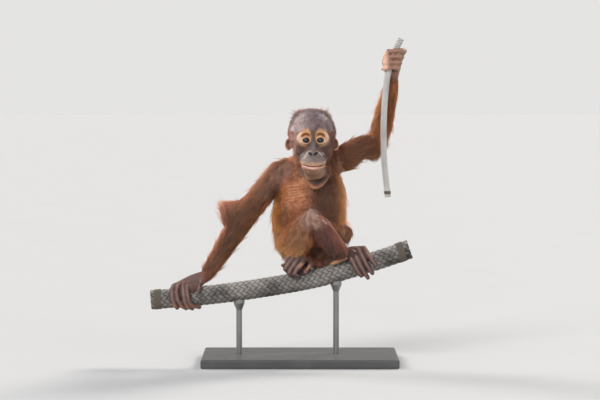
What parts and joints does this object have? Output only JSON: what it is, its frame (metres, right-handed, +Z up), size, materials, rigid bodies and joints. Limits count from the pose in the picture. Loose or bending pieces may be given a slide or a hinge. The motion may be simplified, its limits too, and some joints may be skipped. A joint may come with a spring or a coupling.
{
  "type": "orangutan",
  "caption": "Life-size model of a young orangutan squatting on a braided rope, one arm raised to hold a thin line, on a flat stand with rods.",
  "frame": {"origin": "middle of the stand base's underside, which is the floor", "axes": "+Z up; the animal faces -Y; +X is to the animal's left, along the perch"},
  "size_m": [0.5374, 0.25, 0.667],
  "materials": {
    "coat": "rust-red hair over brown skin",
    "face_skin": "grey-brown bare skin with tan eye rings and pink lips",
    "hand_skin": "creased purple-brown bare skin",
    "eye": "wet, near black",
    "rope": "grey braided cord",
    "stand": "satin dark grey"
  },
  "bodies": {
    "root": {"head": "face_skin", "ear_right": "face_skin", "ear_left": "face_skin", "eye_right": "eye", "eye_left": "eye", "neck": "coat", "throat": "coat", "torso": "coat", "upper_arm_right": "coat", "forearm_right": "coat", "hand_right": "hand_skin", "upper_arm_left": "coat", "forearm_left": "coat", "hand_left": "hand_skin", "thigh_right": "coat", "shin_right": "coat", "foot_right": "hand_skin", "thigh_left": "coat", "shin_left": "coat", "foot_left": "hand_skin", "perch_rope": "rope", "hand_line": "rope", "stand_base": "stand", "stand_rod_right": "stand", "stand_rod_left": "stand"}
  },
  "joints": []
}
